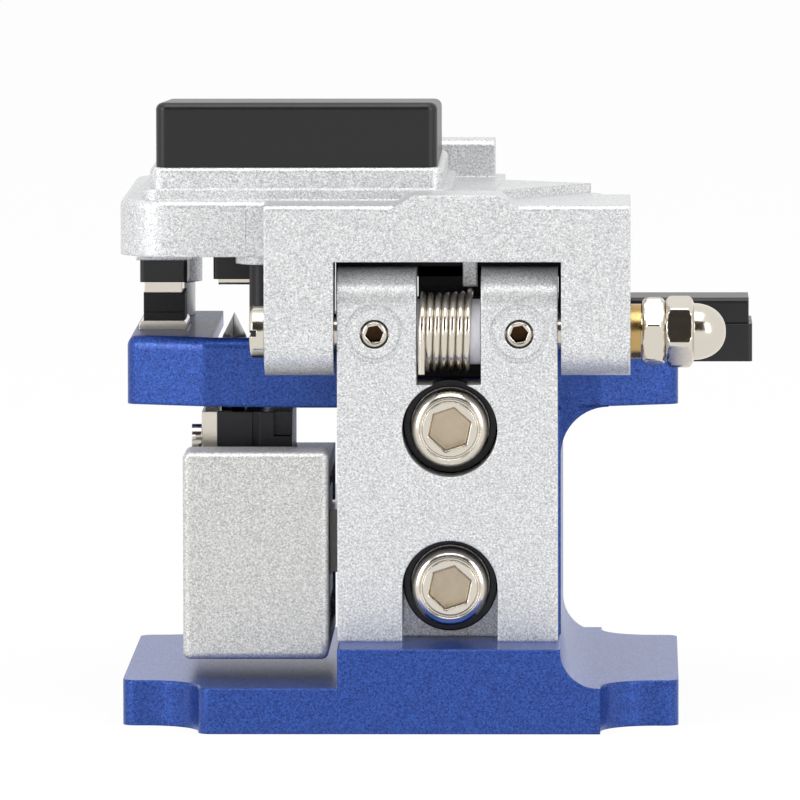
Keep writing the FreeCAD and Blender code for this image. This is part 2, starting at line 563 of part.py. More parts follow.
lid = new_body("holder_lid")
box(lid, ("holder_end + 0.4", "lid_inner"), ("holder_front + 2.95", "holder_rear - 0.3"),
    ("holder_split + 0.05", "holder_top"))
soften(lid, "0.6", pick(lid, "x", z=near(size("holder_top"))))
box(lid, ("holder_end + 4.7", "lid_inner - 3.8"), ("holder_front + 1.4", "holder_front + 4"),
    ("holder_split + 0.1", "holder_split + 1.4"))
rod(lid, "x", ("holder_end + 4.7", "lid_inner - 3.8"), LID_AXIS, "1.2")
rod(lid, "x", ("holder_end + 4", "lid_inner - 3"), LID_AXIS, "0.8 + 0.05", cut=True)
box(lid, ("holder_end + 7", "lid_inner - 5"), ("fibre_y - 0.4", "fibre_y + 2.6"),
    ("holder_split - 1", "holder_split + 0.9"), cut=True)

lid_pin = new_body("holder_lid_pin")
rod(lid_pin, "x", ("holder_end + 1.6", "lid_inner - 1.1"), LID_AXIS, "0.8")

lid_rubber = new_body("holder_rubber")
box(lid_rubber, ("holder_end + 7.05", "lid_inner - 5.05"), ("fibre_y - 0.35", "fibre_y + 2.55"),
    ("holder_split + 0.05", "holder_split + 0.9"))

# Slider rail on the web, with its screws.
rail = new_body("guide_rail")
RAIL_FACE = "web_high + rail_height"
box(rail, ("web_high", RAIL_FACE), ("deck_front + 0.5", "slider_rear - cap_depth - travel - 0.5"),
    ("rail_low", "rail_high"))
rail_screws = new_body("rail_screws")
for place_y in ("-23", "-11", "1"):
    centre = (place_y, RAIL_MIDDLE)
    rod(rail, "x", ("web_high - 1", f"{RAIL_FACE} + 1"), centre, "1 + fit", cut=True)
    rod(rail, "x", (f"{RAIL_FACE} - 1.4", f"{RAIL_FACE} + 1"), centre, "1.9 + fit", cut=True)
    rod(rail_screws, "x", ("web_high - 4.8", f"{RAIL_FACE} - 1.35"), centre, "1")
    rod(rail_screws, "x", (f"{RAIL_FACE} - 1.4", f"{RAIL_FACE} - 0.2"), centre, "1.9")
for place_y in ("-23", "-11", "1"):
    hexagon(rail_screws, "x", (f"{RAIL_FACE} - 0.9", RAIL_FACE), (place_y, RAIL_MIDDLE), "1.5", cut=True)

# Carriage that runs on the rail.
carriage = new_body("slider_carriage")
box(carriage, ("web_high + 1.4", "12.2"), ("-3.5", "15"), ("rail_low - 2.5", "rail_high + 2.5"))
box(carriage, ("web_high", f"{RAIL_FACE} + 0.3"), ("-4.5", "16"), ("rail_low - 0.08", "rail_high + 0.08"),
    cut=True)
for place_y in ("0", "11"):
    rod(carriage, "x", (f"{RAIL_FACE} + 0.4", "13"), (place_y, "rail_low + 2.6"), "1.25 + fit", cut=True)
    rod(carriage, "x", (f"{RAIL_FACE} + 0.4", "13"), (place_y, "rail_high + 1.2"), "0.8 + fit", cut=True)

# Slider housing: deep rear cap, lower front part with an opening for the blade holder.
housing = new_body("slider_housing")
box(housing, ("slider_low_x", "slider_high_x"), ("slider_front", "slider_rear"),
    ("slider_floor", "slider_top"))
soften(housing, "0.8", pick(housing, y=(size("slider_front") + 1, 1000)))
box(housing, ("slider_low_x - 1", "slider_high_x + 1"), ("slider_front - 1", "slider_rear - cap_depth"),
    ("slider_top - 1.6", "slider_top + 1"), cut=True)
box(housing, ("slider_low_x - 1", "slider_high_x - 2"), ("slider_front + 2", "slider_rear - cap_depth"),
    ("slider_floor + 2", "slider_top - 3.4"), cut=True)
box(housing, ("12.15", "22.6"), ("slider_front + 2", "13"), ("rail_high - 0.3", "slider_top + 1"), cut=True)
box(housing, ("slider_low_x - 1", f"{RAIL_FACE} + 0.3"), ("slider_front - 1", "slider_front + 2.1"),
    ("rail_low - 0.3", "rail_high + 0.3"), cut=True)
for place_y in ("0", "11"):
    rod(housing, "x", ("12.2", "slider_high_x - 1.5"), (place_y, "rail_low + 2.6"), "2.7")
for place_y in ("0", "11"):
    centre = (place_y, "rail_low + 2.6")
    rod(housing, "x", ("12", "slider_high_x + 1"), centre, "1.25 + fit", cut=True)
    rod(housing, "x", ("slider_high_x - 1.5", "slider_high_x + 1"), centre, "2.3", cut=True)

slider_screws = new_body("slider_screws")
for place_y in ("0", "11"):
    centre = (place_y, "rail_low + 2.6")
    rod(slider_screws, "x", (f"{RAIL_FACE} + 0.6", "slider_high_x - 1.5"), centre, "1.25")
    rod(slider_screws, "x", ("slider_high_x - 1.5", "slider_high_x - 0.2"), centre, "2.2")
for place_y in ("0", "11"):
    hexagon(slider_screws, "x", ("slider_high_x - 1.1", "slider_high_x"), (place_y, "rail_low + 2.6"), "2",
            cut=True)

# Blade holder on the carriage, with the clamping plate, and the blade between its cheeks.
BLADE = ("blade_y", "blade_z")
blade_holder = new_body("blade_holder")
box(blade_holder, ("12.2", "20.5"), ("-4.2", "12.5"), ("rail_high - 0.2", "27.2"))
box(blade_holder, ("12.2", "17.4"), ("-4.2", "12.5"), ("27.2", "33.7"))
box(blade_holder, ("12.2", "20.5"), ("10.8", "12.5"), ("27.2", "33.7"))
box(blade_holder, ("blade_x - 3.4", "17.4"), ("blade_y - 3", "blade_y + 3"), ("33.7", "blade_z"))
rod(blade_holder, "x", ("blade_x - 3.4", "17.4"), BLADE, "3")
rod(blade_holder, "x", ("12", "18"), BLADE, "blade_bore + fit", cut=True)
box(blade_holder, ("15.8", "16.6"), ("11.9", "13"), ("27", "34"), cut=True)
box(blade_holder, ("12", "14.2"), ("11.3", "13"), ("31", "34"), cut=True)
for place_y in ("0", "11"):
    rod(blade_holder, "x", ("12", "21"), (place_y, "rail_high + 1.2"), "0.8 + fit", cut=True)
    rod(blade_holder, "x", ("19", "21"), (place_y, "rail_high + 1.2"), "1.5", cut=True)
rod(blade_holder, "x", ("17.5", "21"), ("11.65", "31"), "0.5 + fit", cut=True)

fixing = new_body("blade_holder_screws")
for place_y in ("0", "11"):
    rod(fixing, "x", (f"{RAIL_FACE} + 0.6", "19.05"), (place_y, "rail_high + 1.2"), "0.8")
    rod(fixing, "x", ("19", "20.3"), (place_y, "rail_high + 1.2"), "1.4")

plate = new_body("blade_plate")
box(plate, ("20.5", "22.2"), ("-4", "12.5"), ("22.2", "33.7"))
box(plate, ("20.6", "22.2"), ("blade_y - 3", "blade_y + 3"), ("33.7", "blade_z"))
rod(plate, "x", ("20.6", "22.2"), BLADE, "3")
rod(plate, "x", ("20", "23"), BLADE, "blade_bore + fit", cut=True)
rod(plate, "x", ("20", "23"), ("11.65", "31"), "0.5 + fit", cut=True)

plate_screw = new_body("height_screw")
rod(plate_screw, "x", ("17.6", "22.2"), ("11.65", "31"), "0.5")
rod(plate_screw, "x", ("22.2", "23.3"), ("11.2 + 0.45", "31"), "1.3")
box(plate_screw, ("22.9", "24"), ("10", "13.5"), ("30.8", "31.2"), cut=True)

blade_screw = new_body("blade_screw")
rod(blade_screw, "x", ("15.7", "22.1"), BLADE, "blade_bore")
box(blade_screw, ("21.6", "23"), ("blade_y - 2", "blade_y + 2"), ("blade_z - 0.25", "blade_z + 0.25"),
    cut=True)

blade = new_body("cutting_blade")
rod(blade, "x", ("blade_x - blade_half", "blade_x + blade_half"), BLADE, "blade_radius - 2.6")
cone(blade, "x", ("blade_x - blade_half", "blade_x"), BLADE, ("blade_radius - 2.6", "blade_radius"))
cone(blade, "x", ("blade_x", "blade_x + blade_half"), BLADE, ("blade_radius", "blade_radius - 2.6"))
rod(blade, "x", ("15", "23"), BLADE, "blade_bore + 0.04", cut=True)

# Lever spring: a coil with one end forward under the lever's lug and one down behind the slot floor.
radius, wire, turns = size("spring_radius"), size("wire_radius"), size("spring_turns") + 0.25
first = size("spring_end")
pitch = (size("slot_high") - 0.2 - wire - first) / turns
leg_start = Vector(radius, -6, 0)
coil = Part.makeHelix(pitch, pitch * turns, radius)
coil_start = Vector(radius, 0, 0)
coil_end = Vector(0, radius, pitch * turns)
path = Part.Wire([Part.makeLine(leg_start, coil_start), coil.Edges[0],
                  Part.makeLine(coil_end, coil_end + Vector(-4.4, 0, 0))])
corners = []
for n in range(6):
    turn = math.radians(60 * n + 30)
    corners.append(leg_start + Vector(wire * math.cos(turn), 0, wire * math.sin(turn)))
section = Part.makePolygon(corners + corners[:1])
swept = path.makePipeShell([section], True, True)
spring = doc.addObject("Part::Feature", "torsion_spring")
spring.Label = "torsion_spring"
spring.Shape = swept.mirror(Vector(), Vector(0, 0, 1))
spring.Placement = Placement(Vector(first, size("hinge_y"), size("hinge_z")), Rotation(Vector(0, 1, 0), -90))
nodes.append(spring)

doc.recompute()
for item in doc.Objects:
    if "Invalid" in item.State or "Error" in item.State:
        raise RuntimeError(f"{item.Label} did not compute")
for node in nodes:
    if node.Shape.isNull() or not node.Shape.isValid():
        raise RuntimeError(f"{node.Label} has no sound shape")
    node.Shape.exportStep(f"parts/{node.Label}.step")
    print(node.Label, len(node.Shape.Solids), round(node.Shape.Volume, 1))
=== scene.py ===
import math

import bmesh
import bpy
from mathutils import Matrix, Vector


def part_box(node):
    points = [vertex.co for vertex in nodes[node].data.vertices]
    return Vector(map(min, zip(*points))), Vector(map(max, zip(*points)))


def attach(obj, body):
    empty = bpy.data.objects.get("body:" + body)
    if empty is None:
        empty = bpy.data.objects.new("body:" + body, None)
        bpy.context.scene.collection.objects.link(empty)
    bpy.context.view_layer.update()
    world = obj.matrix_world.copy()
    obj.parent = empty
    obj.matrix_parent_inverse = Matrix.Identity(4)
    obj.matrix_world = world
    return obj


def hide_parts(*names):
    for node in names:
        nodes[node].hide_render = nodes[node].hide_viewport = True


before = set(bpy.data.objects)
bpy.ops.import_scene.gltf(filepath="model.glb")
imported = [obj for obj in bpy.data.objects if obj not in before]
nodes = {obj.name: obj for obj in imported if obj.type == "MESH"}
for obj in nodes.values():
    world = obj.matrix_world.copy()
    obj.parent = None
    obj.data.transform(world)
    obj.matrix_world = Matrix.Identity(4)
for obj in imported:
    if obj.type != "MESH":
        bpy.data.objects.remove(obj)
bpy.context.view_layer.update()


# Body: foot, web and overhanging deck in one aluminium casting, its corners rounded by the mould.
# It is sprayed with a blue metallic lacquer under a clear coat, which leaves fine flakes and a gloss on its edges.
def linear(code):
    """A linear colour from an sRGB hex code."""
    parts = [int(code[i:i + 2], 16) / 255 for i in (1, 3, 5)]
    return [c / 12.92 if c <= 0.04045 else ((c + 0.055) / 1.055) ** 2.4 for c in parts] + [1.0]


def add(tree, kind, settings=None, **inputs):
    """Adds a node with its own settings and its inputs, each a value or another node's output."""
    node = tree.nodes.new("ShaderNode" + kind)
    for name, value in (settings or {}).items():
        setattr(node, name, value)
    for name, value in inputs.items():
        by_identifier = next((s for s in node.inputs if s.identifier == name), None)
        socket = by_identifier or node.inputs[name.replace("_", " ")]
        if isinstance(value, bpy.types.NodeSocket):
            tree.links.new(value, socket)
        else:
            socket.default_value = value
    return node


def new_material(name):
    """A material with nothing in it but its output."""
    material = bpy.data.materials.new(name)
    material.use_nodes = True
    tree = material.node_tree
    tree.nodes.clear()
    output = tree.nodes.new("ShaderNodeOutputMaterial")
    return material, tree, output


def per_metre(size_mm):
    """The texture scale that gives a grain of this size."""
    return 1000.0 / size_mm


def dress(material, *names):
    """Gives CAD nodes one material."""
    for name in names:
        piece = nodes[name]
        piece.data.materials.clear()
        piece.data.materials.append(material)


def flake_paint(name, deep, bright, flake_mm, metallic, roughness, coat, edge_mm, edge_tint, peel_um):
    """Sprayed metallic lacquer: flakes of two shades under a clear coat, a faint orange peel, softened edges.

    Real flakes are about 0.04 mm, too fine to show, so flake_mm draws them about three times coarser.
    """
    material, tree, output = new_material(name)
    place = add(tree, "TexCoord").outputs["Object"]
    flakes = add(tree, "TexVoronoi", Vector=place, Scale=per_metre(flake_mm))
    shade = add(tree, "SeparateColor", Color=flakes.outputs["Color"])
    cloud = add(tree, "TexNoise", Vector=place, Scale=per_metre(flake_mm * 2.2), Detail=2.0)
    tilt = add(tree, "MapRange", Value=shade.outputs["Red"], To_Min=-0.35, To_Max=0.35)
    total = add(tree, "Math", {"operation": "ADD"}, Value=cloud.outputs["Fac"])
    tree.links.new(tilt.outputs["Result"], total.inputs[1])
    colour = add(tree, "Mix", {"data_type": "RGBA"}, Factor_Float=total.outputs[0],
                 A_Color=linear(deep), B_Color=linear(bright))
    sheen = add(tree, "MapRange", Value=shade.outputs["Blue"], To_Min=roughness * 0.8, To_Max=roughness * 1.2)
    edges = add(tree, "Bevel", {"samples": 6}, Radius=edge_mm / 1000)
    peel = add(tree, "Bump", Strength=0.5, Distance=peel_um / 1e6, Height=shade.outputs["Green"],
               Normal=edges.outputs["Normal"])
    paint = add(tree, "BsdfPrincipled", Metallic=metallic, Roughness=sheen.outputs["Result"],
                Specular_Tint=linear(edge_tint), Coat_Weight=coat, Coat_Roughness=0.12,
                Normal=peel.outputs["Normal"], Coat_Normal=edges.outputs["Normal"])
    tree.links.new(colour.outputs[2], paint.inputs["Base Color"])
    tree.links.new(paint.outputs[0], output.inputs["Surface"])
    return material


# Blue metallic lacquer, sprayed and baked: deep blue straight on, lighter specks, and a paler gleam at a low angle.
blue_lacquer = flake_paint("blue metallic lacquer", "#10246c", "#355fb6", 0.13, 0.6, 0.34, 0.2, 0.6, "#ffffff", 8)

# Painted reflection: the gleam's tint is set by height, pale on the foot and navy from the deck's top up, painted to
# stand for the lever's dark underside that the deck's top mirrors.
deck_edge_from, deck_edge_to = 0.0411, 0.0416
tree = blue_lacquer.node_tree
height = add(tree, "SeparateXYZ", Vector=tree.nodes["Texture Coordinate"].outputs["Object"])
painted_reflection_mask = add(tree, "MapRange", Value=height.outputs["Z"], From_Min=deck_edge_from, From_Max=deck_edge_to)
painted_reflection_tint = add(tree, "Mix", {"data_type": "RGBA"}, Factor_Float=painted_reflection_mask.outputs["Result"],
            A_Color=linear("#f4f6ff"), B_Color=linear("#101c4c"))
tree.links.new(painted_reflection_tint.outputs[2], tree.nodes["Principled BSDF"].inputs["Specular Tint"])
dress(blue_lacquer, "base_body")

# Hinge bracket: an upright aluminium die casting with two ears, screwed to the rear of the web.
# It is sprayed silver, and its corners are rounded by the die.
# Silver metallic lacquer, sprayed: bright and grey specks with a soft sheen.
silver_lacquer = flake_paint("silver metallic lacquer", "#a6a8ab", "#ffffff", 0.11, 0.6, 0.4, 0.12, 0.35,
                             "#f0f0f0", 9)
dress(silver_lacquer, "hinge_bracket")


def ease(name, edge_mm):
    """Rounds the sharp edges of a CAD node with a modifier, flat faces first merged."""
    piece = nodes[name]
    merge = piece.modifiers.new("merge flats", "DECIMATE")
    merge.decimate_type = "DISSOLVE"
    merge.angle_limit = math.radians(0.5)
    edge = piece.modifiers.new("eased edges", "BEVEL")
    edge.width = edge_mm / 1000
    edge.segments = 3
    edge.limit_method = "ANGLE"
    edge.angle_limit = math.radians(50)
    edge.harden_normals = True


ease("hinge_bracket", 0.35)


# Bracket screws: two M5 socket head screws of cold headed steel, nickel plated, sunk in the bracket's pockets.
# The head has a rounded rim, a turned groove on its face and a 4 mm hexagon.
def plated_metal(name, shade, roughness, grain_mm=0.4, grain=0.02, edge_mm=0.15):
    """Plated or ground metal with a faint uneven polish.

    Polishing marks are about 0.02 mm, too fine to show, so grain_mm draws a soft unevenness instead.
    """
    material, tree, output = new_material(name)
    place = add(tree, "TexCoord").outputs["Object"]
    wear = add(tree, "TexNoise", Vector=place, Scale=per_metre(grain_mm), Detail=4.0)
    dull = add(tree, "MapRange", Value=wear.outputs["Fac"], To_Min=roughness * 0.7, To_Max=roughness * 1.4)
    edges = add(tree, "Bevel", {"samples": 6}, Radius=edge_mm / 1000)
    bump = add(tree, "Bump", Strength=grain, Distance=0.0001, Height=wear.outputs["Fac"],
               Normal=edges.outputs["Normal"])
    metal = add(tree, "BsdfPrincipled", Base_Color=linear(shade), Metallic=1.0, Roughness=dull.outputs["Result"],
                Normal=bump.outputs["Normal"])
    tree.links.new(metal.outputs[0], output.inputs["Surface"])
    return material


def hexagonal(flats, spin=0.0):
    """The radius of a hexagon with this width across flats, as a function of the angle."""
    def radius(angle):
        return flats / 2 / math.cos((angle - math.radians(spin) + math.pi / 6) % (math.pi / 3) - math.pi / 6)
    return radius


def turned(name, centres, rings, across, upward, outward, count=96, deep_bands=0, capped=True):
    """Rings of points about an axis, skinned: each ring is a distance out and a radius or a function for it.

    The last deep_bands bands, at the bottom of a socket, take the second material.
    """
    mesh = bmesh.new()
    for centre in centres:
        loops = []
        for out, radius in rings:
            loop = []
            for n in range(count):
                angle = 2 * math.pi * n / count
                reach = radius(angle) if callable(radius) else radius
                point = Vector(centre) + Vector(outward) * out
                point += Vector(across) * reach * math.cos(angle) + Vector(upward) * reach * math.sin(angle)
                loop.append(mesh.verts.new(point / 1000))
            loops.append(loop)
        for near, far in zip(loops, loops[1:]):
            for n in range(count):
                face = mesh.faces.new((near[n], near[(n + 1) % count], far[(n + 1) % count], far[n]))
                face.smooth = True
        if capped:
            mesh.faces.new(list(reversed(loops[0])))
            mesh.faces.new(loops[-1])
        if deep_bands:
            mesh.faces.ensure_lookup_table()
            for face in mesh.faces[-2 - count * deep_bands:]:
                face.material_index = 1
            mesh.faces[-2].material_index = 0
    bmesh.ops.remove_doubles(mesh, verts=mesh.verts, dist=1e-7)
    bmesh.ops.recalc_face_normals(mesh, faces=mesh.faces)
    data = bpy.data.meshes.new(name)
    mesh.to_mesh(data)
    mesh.free()
    data.set_sharp_from_angle(angle=math.radians(32))
    piece = bpy.data.objects.new(name, data)
    bpy.context.collection.objects.link(piece)
    return piece


head_radius = 4.25
key_hexagon = hexagonal(4.0, 12)
screw_rings = [
    (-18.0, 2.3), (-5.0, 2.3), (-5.0, 4.2), (-1.1, head_radius), (-0.7, 4.2), (-0.35, 4.02), (-0.12, 3.75),
    (0.0, 3.42), (-0.04, 3.36), (-0.22, 3.26), (-0.22, 3.08), (-0.04, 2.98), (-0.02, 2.62),
    (-0.06, lambda angle: key_hexagon(angle) * 1.1), (-0.32, key_hexagon), (-1.6, key_hexagon), (-1.68, 0.05)]
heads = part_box("bracket_screws")
head_face = heads[1][1] * 1000
screw_x = (heads[0][0] + heads[1][0]) * 500
upper_z, lower_z = heads[1][2] * 1000 - head_radius, heads[0][2] * 1000 + head_radius
screw_centres = [(screw_x, head_face, upper_z), (screw_x, head_face, lower_z)]
bracket_screws = turned("bracket_socket_screws", screw_centres, screw_rings, (1, 0, 0), (0, 0, 1), (0, 1, 0),
                        deep_bands=1)

# Nickel plate, polished: a warm mirror that shows the room with almost no blur.
nickel = plated_metal("nickel plate", "#d9d2c6", 0.16)
# Broached socket: the tool leaves the bottom of the hexagon dull and brownish.
broached = plated_metal("broached socket", "#cdbfa8", 0.42)
bracket_screws.data.materials.append(nickel)
bracket_screws.data.materials.append(broached)
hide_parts("bracket_screws")
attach(bracket_screws, "base")

# Painted shade: two rings of blackened steel laid at the bottom of the bracket's two pockets, where the pockets'
# shade falls. Each lies round a screw head, so it is seen as a dark ring with a rounded edge.
shade_ring_profile = [(-4.95, 4.32), (-4.4, 4.32), (-4.3, 4.42), (-4.3, 5.08), (-4.4, 5.18), (-4.95, 5.18), (-4.95, 4.32)]
pocket_shade = turned("pocket_shade_rings", screw_centres, shade_ring_profile, (1, 0, 0), (0, 0, 1), (0, 1, 0), capped=False)
# Blackened steel, oxidised in a hot bath: near black, with a soft metal sheen.
black_steel = plated_metal("blackened steel", "#3a3a3c", 0.35)
pocket_shade.data.materials.append(black_steel)
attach(pocket_shade, "base")

# Hinge pin: a 4 mm steel pin with a slotted head, nickel plated, pushed through both ears and both lever legs.
# Its other end is threaded for the two nuts.
dress(nickel, "hinge_pin")

# Pin lock screws: two M3 set screws in the ears bear on the pin, nickel plated.
# Each has a bevelled rim and a hexagon for a 1.5 mm key, a little wide, and its socket is painted dark brown as
# painted shade.
lock_radius = 0.0015
lock_hexagon = hexagonal(1.7, 20)
lock_rings = [
    (-3.4, 1.46), (-0.4, 1.46), (-0.2, 1.42), (-0.05, 1.3), (0.0, 1.16), (-0.02, 1.1),
    (-0.03, lambda angle: lock_hexagon(angle) * 1.06), (-0.12, lock_hexagon),
    (-1.5, hexagonal(1.66, 20)), (-1.55, 0.05)]
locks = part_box("set_screws")
lock_centres = [(x * 1000, locks[1][1] * 1000, (locks[0][2] + locks[1][2]) * 500)
                for x in (locks[0][0] + lock_radius, locks[1][0] - lock_radius)]
set_screws = turned("socket_set_screws", lock_centres, lock_rings, (1, 0, 0), (0, 0, 1), (0, 1, 0),
                    count=72, deep_bands=2)
# Painted shade: the walls and bottom of the deep socket are painted dark brown and dull, for the shade in it.
socket_shade_brown = plated_metal("painted socket shade", "#4a3524", 0.45)
set_screws.data.materials.append(nickel)
set_screws.data.materials.append(socket_shade_brown)
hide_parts("set_screws")
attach(set_screws, "base")


# Jam nut: a thin M4 nut cut from hexagon bar and nickel plated, run up to the brass bush on the pin's thread.
# Turning bevels its corners on both faces.
def bevelled(flats, spin, limit):
    """A hexagon whose corners are turned down to a limit."""
    corner = hexagonal(flats, spin)
    return lambda angle: min(limit, corner(angle))


def nut_face(spin):
    """The first face of a nut, from its bore out over the turned corners."""
    corners = [(0.06, 3.42), (0.22, 3.68), (0.42, 3.9), (0.62, 4.01)]
    return [(0.0, 2.0), (0.0, 3.3)] + [(out, bevelled(nut_flats, spin, limit)) for out, limit in corners]


nut_flats = 7.0
jam_spin, acorn_spin = 44, 14
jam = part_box("hinge_jam_nut")
pin_line = [(jam[0][n] + jam[1][n]) * 500 for n in range(3)]
jam_width = (jam[1][0] - jam[0][0]) * 1000
jam_rings = nut_face(jam_spin) + [
    (jam_width - 0.62, bevelled(nut_flats, jam_spin, 4.01)), (jam_width - 0.42, bevelled(nut_flats, jam_spin, 3.9)),
    (jam_width - 0.22, bevelled(nut_flats, jam_spin, 3.68)), (jam_width - 0.06, bevelled(nut_flats, jam_spin, 3.42)),
    (jam_width, 3.3), (jam_width, 2.0)]
jam_nut = turned("jam_nut", [(jam[1][0] * 1000, pin_line[1], pin_line[2])], jam_rings,
                 (0, 1, 0), (0, 0, 1), (-1, 0, 0), count=144)
jam_nut.data.materials.append(nickel)
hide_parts("hinge_jam_nut")
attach(jam_nut, "base")

# Acorn nut: a closed M4 nut with a pressed dome that covers the pin's end, nickel plated.
# It is tightened against the jam nut, its corners out of line with that nut's.
acorn_hex_end, dome_radius, dome_steps = 3.15, 3.12, 16
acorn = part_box("hinge_acorn_nut")
dome_length = (acorn[1][0] - acorn[0][0]) * 1000 - acorn_hex_end
acorn_rings = nut_face(acorn_spin) + [
    (2.5, bevelled(nut_flats, acorn_spin, 4.01)), (2.7, bevelled(nut_flats, acorn_spin, 3.9)),
    (2.9, bevelled(nut_flats, acorn_spin, 3.66)), (3.05, bevelled(nut_flats, acorn_spin, 3.35)),
    (3.1, 3.2), (acorn_hex_end, dome_radius)]
for step in range(1, dome_steps + 1):
    turn = math.radians(90 * step / dome_steps)
    acorn_rings.append((acorn_hex_end + dome_length * math.sin(turn),
                        max(0.03, dome_radius * math.cos(turn) ** 0.9)))
acorn_nut = turned("acorn_nut", [(acorn[1][0] * 1000, pin_line[1], pin_line[2])], acorn_rings,
                   (0, 1, 0), (0, 0, 1), (-1, 0, 0), count=144)
acorn_nut.data.materials.append(nickel)
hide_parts("hinge_acorn_nut")
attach(acorn_nut, "base")

# Lever spring: 0.8 mm spring wire wound six and a quarter turns round the pin's collar, nickel plated.
# One end lies forward under the lever's lug, the other goes down in the bracket's slot.
spring_first, spring_last, spring_turns = -7.6, -2.4, 6.25
hinge_y, hinge_z = 19.5, 43.2
coil_radius, wire_radius, coil_steps = 4.1, 0.4, 40
spring_line = [(spring_first, 13.5, 47.3), (spring_first, 16.5, 47.3)]
for step in range(0, int(spring_turns * coil_steps) + 1):
    turn = 2 * math.pi * step / coil_steps
    spring_line.append((spring_first + (spring_last - spring_first) * step / (spring_turns * coil_steps),
                        hinge_y + coil_radius * math.sin(turn), hinge_z + coil_radius * math.cos(turn)))
spring_line += [(spring_last, 23.6, 41.2), (spring_last, 23.6, 38.8)]
spring_curve = bpy.data.curves.new("lever_spring", "CURVE")
spring_curve.dimensions = "3D"
spring_curve.bevel_depth = wire_radius / 1000
spring_curve.bevel_resolution = 6
spring_curve.use_fill_caps = True
spline = spring_curve.splines.new("POLY")
spline.points.add(len(spring_line) - 1)
for point, place in zip(spline.points, spring_line):
    point.co = (place[0] / 1000, place[1] / 1000, place[2] / 1000, 1)
lever_spring = bpy.data.objects.new("lever_spring", spring_curve)
bpy.context.collection.objects.link(lever_spring)
spring_curve.materials.append(nickel)
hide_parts("torsion_spring")
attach(lever_spring, "base")


# Spring spool: a collar turned from natural nylon bar, slid on the pin to keep the coil central.
# It shows as a milky edge beside the coil.
def moulded(name, shade, roughness, spark_mm=0.5, texture=0.05, edge_mm=0.25, ior=1.53):
    """Plastic or rubber with a fine even texture, as a spark-eroded mould leaves it.

    The mould's pits are about 0.05 mm, too fine to show, so spark_mm draws them ten times coarser.
    """
    material, tree, output = new_material(name)
    place = add(tree, "TexCoord").outputs["Object"]
    spark = add(tree, "TexNoise", Vector=place, Scale=per_metre(spark_mm), Detail=5.0)
    edges = add(tree, "Bevel", {"samples": 6}, Radius=edge_mm / 1000)
    bump = add(tree, "Bump", Strength=texture, Distance=0.0001, Height=spark.outputs["Fac"],
               Normal=edges.outputs["Normal"])
    dull = add(tree, "MapRange", Value=spark.outputs["Fac"], To_Min=roughness * 0.85, To_Max=roughness * 1.15)
    plastic = add(tree, "BsdfPrincipled", Base_Color=linear(shade), Roughness=dull.outputs["Result"], IOR=ior,
                  Normal=bump.outputs["Normal"])
    tree.links.new(plastic.outputs[0], output.inputs["Surface"])
    return material


# Natural nylon, turned: milky grey with a soft sheen.
nylon = moulded("natural nylon", "#cfcfd6", 0.5)
dress(nylon, "spring_spool")


# Painted shade: a black rubber block set between the deck's rear edge and the bracket, under the strip of painted
# shade beneath the arm. It closes the gap behind the coil, so the slot looks dark between the turns.
def slabs(name, spans, edge_mm):
    """Bevelled blocks in one mesh, each between two corners in millimetres."""
    mesh = bmesh.new()
    for low, high in spans:
        corners = bmesh.ops.create_cube(mesh, size=1.0)["verts"]
        for corner in corners:
            corner.co = [(low[n] + (high[n] - low[n]) * (corner.co[n] + 0.5)) / 1000 for n in range(3)]
    bmesh.ops.bevel(mesh, geom=mesh.edges[:], offset=edge_mm / 1000, segments=3, affect="EDGES", profile=0.5)
    data = bpy.data.meshes.new(name)
    mesh.to_mesh(data)
    mesh.free()
    piece = bpy.data.objects.new(name, data)
    bpy.context.collection.objects.link(piece)
    return piece


# Black rubber, compression moulded: matt black that hardly mirrors anything.
black_rubber = moulded("black rubber", "#151516", 0.7)
coil_shade_block = slabs("coil_shade_block", [((-9.3, 14.1, 37.7), (-1.4, 15.4, 46.7))], 0.2)
coil_shade_block.data.materials.append(black_rubber)
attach(coil_shade_block, "base")

# Guide rail: a bar of hardened steel, ground flat, on the web beside the slider.
# Its socket screws are blackened steel.
# Ground steel, from a grinding wheel: grey, with a broad blurred highlight.
ground_steel = plated_metal("ground steel", "#b9b8b6", 0.3)
dress(ground_steel, "guide_rail")
dress(black_steel, "rail_screws")

# Lower fibre clamps: a nickel plated steel seat on the deck at each side of the blade slot, with a rubber face.
# The keeper pillar for the lever's magnet, ground steel, is pressed in the deck in front of the outer one.
dress(nickel, "lower_clamp_seats")
ease("lower_clamp_seats", 0.45)
dress(black_rubber, "lower_clamp_rubbers")
dress(ground_steel, "keeper_pillar")

# Fibre holder: base and lid moulded in black ABS, joined by a ground steel pin and screwed to the deck.
# A rubber face in the lid presses the fibre into its groove.
# Black ABS, moulded with a spark-eroded finish: satin black with soft highlights on its edges.
black_abs = moulded("black ABS", "#090a0c", 0.36)
dress(black_abs, "holder_base", "holder_lid")
dress(ground_steel, "holder_lid_pin")
dress(black_steel, "holder_screws")
dress(black_rubber, "holder_rubber")

# Lever: a die casting sprayed in the same silver as the bracket, its edges left soft by the die.
# It swings on brass bushes; its stop screw is blackened and its magnet is nickel plated.
dress(silver_lacquer, "lever_arm")
ease("lever_arm", 0.3)
# Turned brass, bare: a warm yellow ring that stands proud of the leg.
turned_brass = plated_metal("turned brass", "#bfa068", 0.25)
dress(turned_brass, "lever_bushes")
dress(black_steel, "stop_screw")
dress(nickel, "lever_magnet")

# Parting line: the thin flash that the two halves of the die leave on the arm's rear face.
# It is lacquered with the arm, so only its edge and its shadow show it.
flash = slabs("parting_line", [((17.1, 16.5, 51.9), (17.34, 16.68, 56.4))], 0.05)
flash.data.materials.append(silver_lacquer)
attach(flash, "lever")
